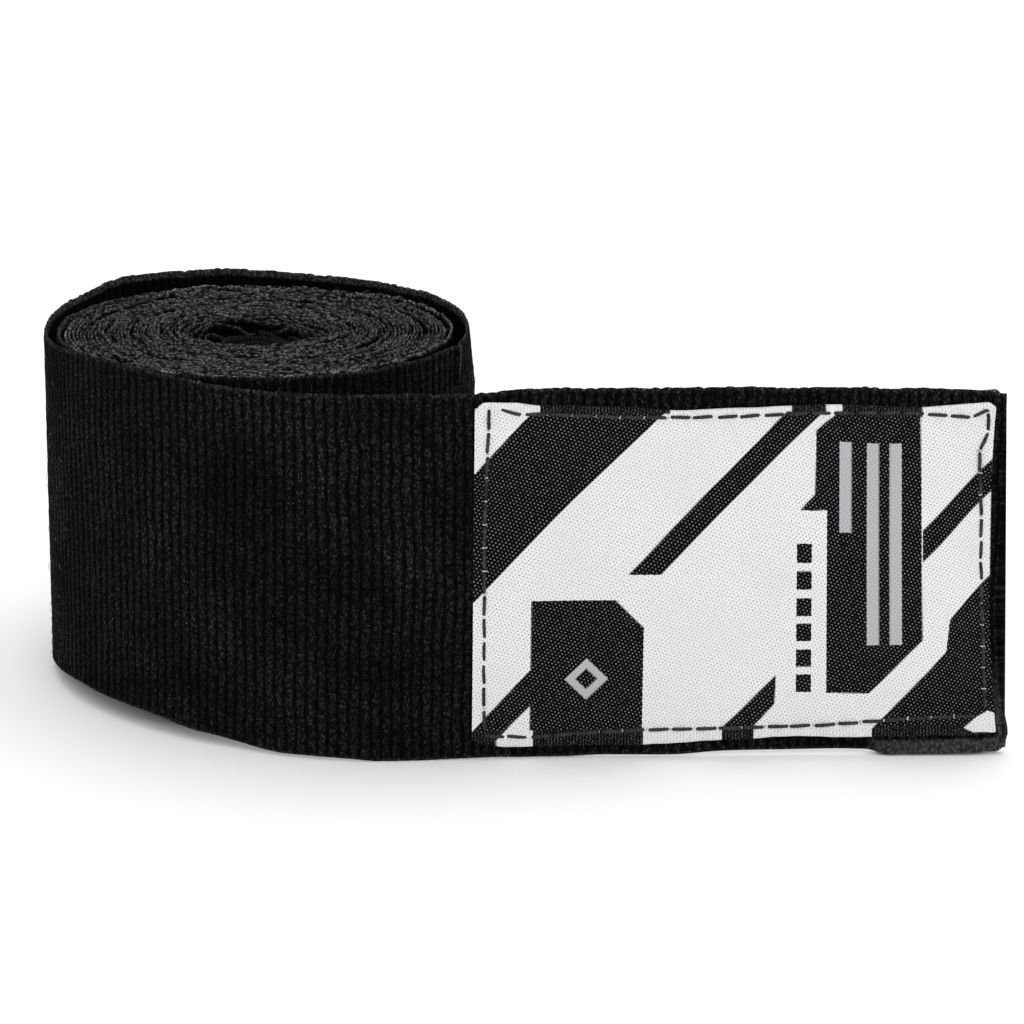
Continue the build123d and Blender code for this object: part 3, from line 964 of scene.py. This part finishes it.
def seam(points):
    """Pairs of a dash and a needle mark along a seam's corner points (u, v) on the label."""
    points = np.array(points, float)
    steps = np.concatenate([[0], np.cumsum(np.linalg.norm(np.diff(points, axis=0), axis=1))])
    level = np.abs(points[-1] - points[0]).argmax() == 0
    count = round(steps[-1] / STITCH_PITCH)
    pitch = steps[-1] / count
    for number in range(count):
        jitter = rng.uniform(-0.12, 0.12, 3)
        place = (number + DASH_SHARE) * pitch + jitter[0]
        u, v = (np.interp(place, steps, points[:, n]) for n in (0, 1))
        tilt = DASH_TILT * jitter[1] * 0.6
        dash = (u, v + tilt) if level else (u + tilt, v)
        hole_u, hole_v = (np.interp(number * pitch, steps, points[:, n]) for n in (0, 1))
        spread = np.array([-0.42, -0.15, 0.15, 0.42]) * rng.uniform(0.7, 1.2)
        mark = (hole_u, hole_v + spread) if level else (hole_u + spread, hole_v)
        yield label_point(*dash, DASH_PROUD), label_point(*mark, MARK_PROUD)


# The seams' corner points on the label: along the top, round its corner, left, bottom and right
SEAMS = [
    [(3.3, 46.7), (5.6, 46.05), (20.0, 45.45), (34.0, 45.5), (46.0, 45.85), (58.0, 45.7), (66.9, 45.0)],
    [(66.9, 45.0), (69.0, 46.1), (69.3, 43.0), (68.2, 40.4)],
    [(1.9, 47.1), (1.6, 37.0), (1.4, 30.0), (1.5, 18.0), (1.5, 8.0), (1.7, 2.0)],
    [(1.4, 1.3), (8.0, 0.95), (13.0, 1.25), (23.0, 1.85), (38.0, 2.0), (47.0, 2.1), (57.0, 2.8),
     (67.5, 3.2)],
    [(68.2, 40.4), (68.8, 32.0), (69.0, 15.0), (68.8, 4.0)],
]
dashes, marks = zip(*[pair for corners in SEAMS for pair in seam(corners)])


def label_number(line):
    """The label piece that a stitch lies on, by its distance along the tail."""
    straight = np.mean(line[:, 0]) - band_route.at(np.array([LABEL_START]))[0][0, 0]
    return int(np.searchsorted(LABEL_CUTS[1:-1], straight + LABEL_START)) + 1


for number in range(1, 5):
    for label, lines, size, material in (("label_stitching", dashes, 0.25, black_thread),
                                         ("needle_marks", marks, 0.13, pale_thread)):
        chosen = [line for line in lines if label_number(line) == number]
        piece = tubes(f"{label}_{number}", chosen, size, material)
        bend(piece, number + FIRST_HINGE - 1)
        if label == "label_stitching":
            stood_for = {1: ["label_stitches_1", "label_stitches_2"], 4: ["label_stitches_end"]}
            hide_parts(*stood_for.get(number, [f"label_stitches_{number + 1}"]))


# ---- The hook patch ----

patch_distance = np.linspace(PATCH_START, PATCH_END, 60)


def patch_heights():
    """The patch's edges, round at its corners."""
    near = np.minimum(patch_distance - PATCH_START, (PATCH_END - patch_distance) * 2)
    inset = PATCH_CORNER - np.clip(near, 0, PATCH_CORNER)
    corner = PATCH_CORNER - np.sqrt(np.clip(PATCH_CORNER ** 2 - inset ** 2, 0, None))
    wave = 0.12 * wander(patch_distance / 2.5, 14)
    return 0.08 + 0.98 * corner + wave * 0.3, PATCH_HEIGHT - corner + wave


def patch_face(proud):
    heights = patch_heights()

    def offset(distance, height):
        nub = 0.06 * wander(height / 0.5, np.floor(distance / 0.5).astype(int))
        rounded = 0.2 + 0.8 * edge_rounding(height, heights, 0.4)
        middle = -(HALF_BAND + 0.4)
        return middle + (proud + nub * np.sign(proud)) * rounded
    return offset


PATCH_ROWS = np.concatenate([[0, 0.003, 0.008], np.linspace(0.016, 0.984, 90), [0.992, 0.997, 1.0]])
patch = strip("hook_patch_tape", band_line, patch_distance, PATCH_ROWS, patch_face(0.37),
              patch_face(-0.35), patch_heights(), hook_tape, tail_skew)
bend(patch, 10)
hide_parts("hook_patch")

# One hook, from the tape out: how far it has bent over, as a share of HOOK_REACH, and its depth
HOOK_BEND = np.array([0, 0, 0.15, 0.7, 1.1])
HOOK_DEPTH = np.array([0.0, 0.42, 0.68, 0.76, 0.6])
HOOK_REACH, HOOK_COLUMN, HOOK_ROW, HOOK_INSET = 0.32, 1.3, 1.45, 2.6

hooks = []
for column, along in enumerate(np.arange(PATCH_START + 1.4, PATCH_END - 1.2, HOOK_COLUMN)):
    for height in np.arange(1.8, 49.6, HOOK_ROW):
        near = min(along - PATCH_START, PATCH_END - along)
        if near < HOOK_INSET and min(height, PATCH_HEIGHT - height) < HOOK_INSET:
            continue
        bent = (1 if column % 2 else -1) * HOOK_REACH
        hook_along = along + HOOK_BEND * bent + rng.uniform(-0.08, 0.08)
        hook_height = np.full(5, height) + rng.uniform(-0.08, 0.08)
        hooks.append(on_band(hook_along, hook_height, -(HALF_BAND + 0.7) - HOOK_DEPTH, tail_skew))
hook_piece = tubes("hook_field", hooks, 0.085, hook_tape, sides=5)
bend(hook_piece, 10)
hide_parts("hooks")


# ---- Lint ----

def fibre(start, out, length):
    """A short curled fibre lying on the surface."""
    along = rng.normal(size=3)
    along -= out * (along @ out)
    along /= np.linalg.norm(along) + 1e-9
    side = np.cross(out, along) * rng.uniform(-0.5, 0.5)
    share = np.linspace(0, 1, 5)[:, None]
    lift = out * (0.03 + 0.18 * np.sin(math.pi * share) * rng.uniform(0.2, 1.0))
    return start + along * share * length + side * np.sin(share * math.pi) * length * 0.6 + lift


def lint_piece(name, fibres, thinnest, thickest):
    piece = tubes(name, fibres, rng.uniform(thinnest, thickest, len(fibres)), lint_fibre, sides=3)
    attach(piece, "roll")


top_fibres = []
for distance in rng.uniform(0, WOUND_LENGTH, 380):
    place, _ = wound_route(np.array([distance]))
    height = wound_heights(np.array([distance]))[1][0]
    start = np.array([*place[0], height + 0.02])
    top_fibres.append(fibre(start, np.array([0, 0, 1.0]), rng.uniform(0.5, 1.6)))
lint_piece("roll_lint", top_fibres, 0.025, 0.045)

side_fibres = []
for distance in rng.uniform(ROLL_START - 60, MIDDLES[0] - 2, 420):
    height = rng.uniform(1.5, 49)
    place, out = band_line(np.array([distance]))
    proud = HALF_BAND + 0.02 + lean(distance, height)
    start = np.array([*(place[0] + out[0] * proud), height])
    side_fibres.append(fibre(start, np.array([*out[0], 0.0]), rng.uniform(0.4, 1.2)))
lint_piece("side_lint", side_fibres, 0.02, 0.04)


# ---- Floor, light and camera ----

def flat_material(name, colour):
    material = bpy.data.materials.new(name)
    material.use_nodes = True
    shader = material.node_tree.nodes["Principled BSDF"]
    shader.inputs["Base Color"].default_value = (*colour, 1)
    shader.inputs["Roughness"].default_value = 1.0
    return material


bpy.ops.mesh.primitive_plane_add(size=8, location=(0, 0, min(cad_box[0].z, 0.0)))
floor = bpy.context.object
floor.name = "floor"
floor.data.materials.append(flat_material("pale_floor", (0.97, 0.97, 0.97)))


LIGHT_TARGET = (0.03, 0, 0.03)


def soft_light(name, place, size, power):
    light = bpy.data.lights.new(name, "AREA")
    light.shape, light.size, light.energy = "SQUARE", size, power
    lamp = bpy.data.objects.new(name, light)
    lamp.location = place
    lamp.rotation_euler = (Vector(LIGHT_TARGET) - Vector(place)).to_track_quat("-Z", "Y").to_euler()
    bpy.context.scene.collection.objects.link(lamp)


soft_light("top_light", (0.1, 0.1, 1.1), 1.0, 3.4)
soft_light("front_light", (0.5, -1.2, 0.55), 0.8, 2.6)

world = bpy.data.worlds.new("studio")
bpy.context.scene.world = world
world.use_nodes = True
background = world.node_tree.nodes["Background"]
background.inputs["Color"].default_value = (1, 1, 1, 1)
background.inputs["Strength"].default_value = 0.98

CAMERA_PLACE, CAMERA_LENS = (24.21, -479.77, 169.29), 123.05
CAMERA_TURN, CAMERA_DOWN, CAMERA_ROLL = (math.radians(a) for a in (1.441, 16.935, 0.6985))
camera = bpy.data.objects.new("camera", bpy.data.cameras.new("camera"))
camera.data.sensor_width = 36
camera.data.lens = CAMERA_LENS
camera.data.clip_start, camera.data.clip_end = 0.01, 50
camera.matrix_world = (Matrix.Translation(Vector(CAMERA_PLACE) * MM)
                       @ Matrix.Rotation(-CAMERA_TURN, 4, "Z")
                       @ Matrix.Rotation(math.pi / 2 - CAMERA_DOWN, 4, "X")
                       @ Matrix.Rotation(CAMERA_ROLL, 4, "Z"))
bpy.context.scene.collection.objects.link(camera)
bpy.context.scene.camera = camera
bpy.context.scene.view_settings.view_transform = "Standard"
